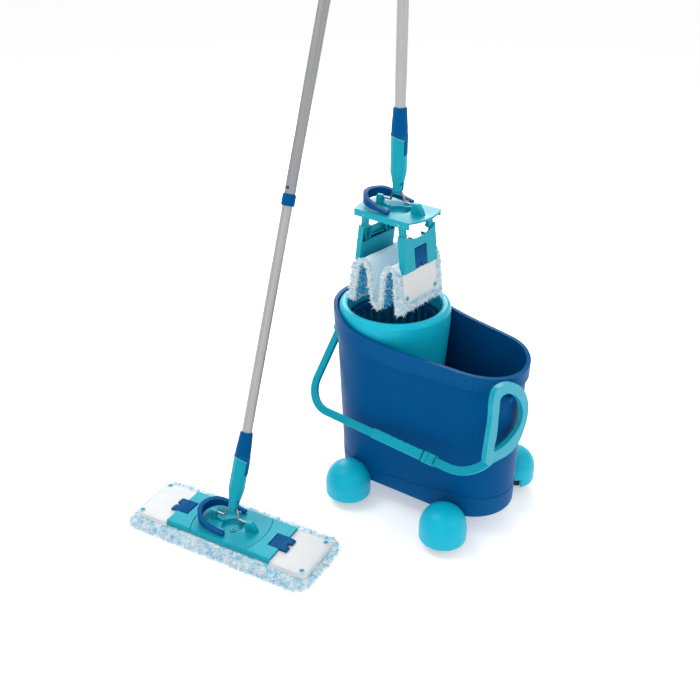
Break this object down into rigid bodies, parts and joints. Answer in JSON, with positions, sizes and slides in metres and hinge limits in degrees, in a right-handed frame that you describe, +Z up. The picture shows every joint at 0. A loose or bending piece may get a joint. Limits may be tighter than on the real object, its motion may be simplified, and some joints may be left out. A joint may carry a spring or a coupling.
{
  "type": "mop and bucket with wringer",
  "caption": "Oval wheeled bucket with a spin wringer column and bail handle, a folded flat mop over the wringer and a second flat mop lying open on the floor.",
  "frame": {"origin": "middle of the box round the whole set, on the floor", "axes": "+Z up, +X from the tall wringer end of the bucket to its low end, -Y towards the mop lying on the floor"},
  "size_m": [0.6744, 0.7163, 2.023],
  "materials": {
    "aqua_plastic": "satin moulded plastic",
    "blue_plastic": "satin moulded plastic",
    "navy_plastic": "moulded, slightly textured",
    "dark_plastic": "moulded",
    "white_plastic": "moulded",
    "black_plastic": "moulded",
    "wheel_rubber": "smooth",
    "steel": "drawn wire",
    "grey_tube": "satin anodised",
    "microfibre": "tufted microfibre on ribbed backing"
  },
  "bodies": {
    "tub": {"bucket": "blue_plastic", "spinner_column": "aqua_plastic", "drive_spindle": "steel", "return_spring": "steel", "caster_hood_fl": "aqua_plastic", "caster_hood_fr": "aqua_plastic", "caster_hood_bl": "aqua_plastic", "caster_hood_br": "aqua_plastic"},
    "carriage": {"carriage": "dark_plastic"},
    "drive_nut": {"drive_nut": "white_plastic"},
    "basket": {"spin_basket": "navy_plastic"},
    "bail": {"bail_handle": "aqua_plastic"},
    "caster_fork_fl": {"caster_fork_fl": "black_plastic"},
    "caster_wheels_fl": {"caster_wheels_fl": "wheel_rubber"},
    "caster_fork_fr": {"caster_fork_fr": "black_plastic"},
    "caster_wheels_fr": {"caster_wheels_fr": "wheel_rubber"},
    "caster_fork_bl": {"caster_fork_bl": "black_plastic"},
    "caster_wheels_bl": {"caster_wheels_bl": "wheel_rubber"},
    "caster_fork_br": {"caster_fork_br": "black_plastic"},
    "caster_wheels_br": {"caster_wheels_br": "wheel_rubber"},
    "wring_plate": {"wring_mop_centre_plate": "aqua_plastic", "wring_mop_wing_pins": "steel", "wring_mop_cover_middle": "microfibre"},
    "wring_wing_left": {"wring_mop_wing_left": "aqua_plastic", "wring_mop_cover_left": "microfibre"},
    "wring_wing_right": {"wring_mop_wing_right": "aqua_plastic", "wring_mop_cover_right": "microfibre"},
    "wring_latch_left": {"wring_mop_latch_left": "blue_plastic"},
    "wring_latch_right": {"wring_mop_latch_right": "blue_plastic"},
    "wring_pedal": {"wring_mop_pedal": "blue_plastic"},
    "wring_yoke": {"wring_mop_wire_yoke": "steel", "wring_mop_joint_block": "blue_plastic"},
    "wring_handle": {"wring_mop_handle_socket": "aqua_plastic", "wring_mop_joint_collar": "blue_plastic", "wring_mop_lower_tube": "grey_tube"},
    "wring_button": {"wring_mop_release_button": "blue_plastic"},
    "wring_upper": {"wring_mop_tube_ring": "blue_plastic", "wring_mop_upper_tube": "grey_tube", "wring_mop_handle_grip": "blue_plastic"},
    "floor_plate": {"floor_mop_centre_plate": "aqua_plastic", "floor_mop_wing_pins": "steel", "floor_mop_cover_middle": "microfibre"},
    "floor_wing_left": {"floor_mop_wing_left": "aqua_plastic", "floor_mop_cover_left": "microfibre"},
    "floor_wing_right": {"floor_mop_wing_right": "aqua_plastic", "floor_mop_cover_right": "microfibre"},
    "floor_latch_left": {"floor_mop_latch_left": "blue_plastic"},
    "floor_latch_right": {"floor_mop_latch_right": "blue_plastic"},
    "floor_pedal": {"floor_mop_pedal": "blue_plastic"},
    "floor_yoke": {"floor_mop_wire_yoke": "steel", "floor_mop_joint_block": "blue_plastic"},
    "floor_handle": {"floor_mop_handle_socket": "aqua_plastic", "floor_mop_joint_collar": "blue_plastic", "floor_mop_lower_tube": "grey_tube"},
    "floor_button": {"floor_mop_release_button": "blue_plastic"},
    "floor_upper": {"floor_mop_tube_ring": "blue_plastic", "floor_mop_upper_tube": "grey_tube", "floor_mop_handle_grip": "blue_plastic"}
  },
  "joints": [
    {"name": "bail_swing", "type": "hinge", "parent": "tub", "child": "bail", "pos_m": [0.11073, 0.14416, 0.341], "axis": [-1, 0, 0], "range_deg": [0, 100]},
    {"name": "basket_plunge", "type": "slide", "parent": "tub", "child": "carriage", "axis": [0, 0, 1], "range_m": [-0.035, 0], "stiffness_N_per_m": 400, "springref_m": 0.03, "deforming": ["return_spring"]},
    {"name": "nut_turn", "type": "hinge", "parent": "carriage", "child": "drive_nut", "pos_m": [0.00273, 0.16216, 0.157], "axis": [0, 0, 1], "range_deg": [-80, 0]},
    {"name": "basket_spin", "type": "hinge", "parent": "carriage", "child": "basket", "pos_m": [0.00273, 0.16216, 0.18], "axis": [0, 0, 1], "continuous": true},
    {"name": "caster_swivel_fl", "type": "hinge", "parent": "tub", "child": "caster_fork_fl", "pos_m": [-0.00527, 0.01616, 0.043], "axis": [0, 0, 1], "continuous": true},
    {"name": "caster_roll_fl", "type": "hinge", "parent": "caster_fork_fl", "child": "caster_wheels_fl", "pos_m": [0.00244, 0.02535, 0.02], "axis": [-0.766, 0.6428, 0], "continuous": true},
    {"name": "caster_swivel_fr", "type": "hinge", "parent": "tub", "child": "caster_fork_fr", "pos_m": [0.24673, 0.02316, 0.043], "axis": [0, 0, 1], "continuous": true},
    {"name": "caster_roll_fr", "type": "hinge", "parent": "caster_fork_fr", "child": "caster_wheels_fr", "pos_m": [0.25444, 0.03235, 0.02], "axis": [-0.766, 0.6428, 0], "continuous": true},
    {"name": "caster_swivel_bl", "type": "hinge", "parent": "tub", "child": "caster_fork_bl", "pos_m": [-0.00527, 0.30816, 0.043], "axis": [0, 0, 1], "continuous": true},
    {"name": "caster_roll_bl", "type": "hinge", "parent": "caster_fork_bl", "child": "caster_wheels_bl", "pos_m": [0.00244, 0.31735, 0.02], "axis": [-0.766, 0.6428, 0], "continuous": true},
    {"name": "caster_swivel_br", "type": "hinge", "parent": "tub", "child": "caster_fork_br", "pos_m": [0.24673, 0.30116, 0.043], "axis": [0, 0, 1], "continuous": true},
    {"name": "caster_roll_br", "type": "hinge", "parent": "caster_fork_br", "child": "caster_wheels_br", "pos_m": [0.25444, 0.31035, 0.02], "axis": [-0.766, 0.6428, 0], "continuous": true},
    {"name": "wring_lift", "type": "slide", "parent": "tub", "child": "wring_plate", "axis": [0, 0, 1], "range_m": [0, 0.3]},
    {"name": "wring_wing_left", "type": "hinge", "parent": "wring_plate", "child": "wring_wing_left", "pos_m": [-0.04227, 0.16216, 0.6415], "axis": [0, 1, 0], "range_deg": [0, 83]},
    {"name": "wring_latch_left", "type": "hinge", "parent": "wring_wing_left", "child": "wring_latch_left", "pos_m": [-0.05561, 0.16216, 0.57966], "axis": [0, 1, 0], "range_deg": [0, 60]},
    {"name": "wring_wing_right", "type": "hinge", "parent": "wring_plate", "child": "wring_wing_right", "pos_m": [0.04773, 0.16216, 0.6415], "axis": [0, -1, 0], "range_deg": [0, 83]},
    {"name": "wring_latch_right", "type": "hinge", "parent": "wring_wing_right", "child": "wring_latch_right", "pos_m": [0.06107, 0.16216, 0.57966], "axis": [0, -1, 0], "range_deg": [0, 60]},
    {"name": "wring_pedal_press", "type": "hinge", "parent": "wring_plate", "child": "wring_pedal", "pos_m": [0.00073, 0.16216, 0.655], "axis": [0, -1, 0], "range_deg": [0, 5], "stiffness_Nm_per_rad": 1, "springref_deg": -5.73},
    {"name": "wring_yoke_swing", "type": "hinge", "parent": "wring_plate", "child": "wring_yoke", "pos_m": [0.00273, 0.16216, 0.667], "axis": [1, 0, 0], "range_deg": [-75, 75]},
    {"name": "wring_handle_tilt", "type": "hinge", "parent": "wring_yoke", "child": "wring_handle", "pos_m": [0.00273, 0.16216, 0.695], "axis": [0, 1, 0], "range_deg": [-22, 70]},
    {"name": "wring_button_press", "type": "slide", "parent": "wring_handle", "child": "wring_button", "axis": [-1, 0, 0], "range_m": [0, 0.0015], "stiffness_N_per_m": 300, "springref_m": -0.002},
    {"name": "wring_telescope", "type": "slide", "parent": "wring_handle", "child": "wring_upper", "axis": [0, 0, 1], "range_m": [-0.3, 0]},
    {"name": "floor_lift", "type": "slide", "parent": "tub", "child": "floor_plate", "axis": [0, 0, 1], "range_m": [0, 0.5]},
    {"name": "floor_wing_left", "type": "hinge", "parent": "floor_plate", "child": "floor_wing_left", "pos_m": [-0.15537, -0.25081, 0.0245], "axis": [0.1994, -0.9799, 0], "range_deg": [0, 83]},
    {"name": "floor_latch_left", "type": "hinge", "parent": "floor_wing_left", "child": "floor_latch_left", "pos_m": [-0.2171, -0.26337, 0.0302], "axis": [-0.1994, 0.9799, 0], "range_deg": [0, 60]},
    {"name": "floor_wing_right", "type": "hinge", "parent": "floor_plate", "child": "floor_wing_right", "pos_m": [-0.06717, -0.23287, 0.0245], "axis": [-0.1994, 0.9799, 0], "range_deg": [0, 83]},
    {"name": "floor_latch_right", "type": "hinge", "parent": "floor_wing_right", "child": "floor_latch_right", "pos_m": [-0.00544, -0.22031, 0.0302], "axis": [0.1994, -0.9799, 0], "range_deg": [0, 60]},
    {"name": "floor_pedal_press", "type": "hinge", "parent": "floor_plate", "child": "floor_pedal", "pos_m": [-0.11323, -0.24224, 0.038], "axis": [0.1994, -0.9799, 0], "range_deg": [0, 5], "stiffness_Nm_per_rad": 1, "springref_deg": -5.73},
    {"name": "floor_yoke_swing", "type": "hinge", "parent": "floor_plate", "child": "floor_yoke", "pos_m": [-0.11127, -0.24184, 0.05], "axis": [0.9799, 0.1994, 0], "range_deg": [-51, 98]},
    {"name": "floor_handle_tilt", "type": "hinge", "parent": "floor_yoke", "child": "floor_handle", "pos_m": [-0.11348, -0.23099, 0.07572], "axis": [-0.1831, 0.9, -0.3955], "range_deg": [-22, 70]},
    {"name": "floor_button_press", "type": "slide", "parent": "floor_handle", "child": "floor_button", "axis": [-0.9799, -0.1994, 0], "range_m": [0, 0.0015], "stiffness_N_per_m": 300, "springref_m": -0.002},
    {"name": "floor_telescope", "type": "slide", "parent": "floor_handle", "child": "floor_upper", "axis": [-0.0789, 0.3876, 0.9184], "range_m": [-0.3, 0]}
  ],
  "couplings": [
    {"joint": "nut_turn", "follows": "basket_plunge", "rad_per_m": 37.768}
  ]
}
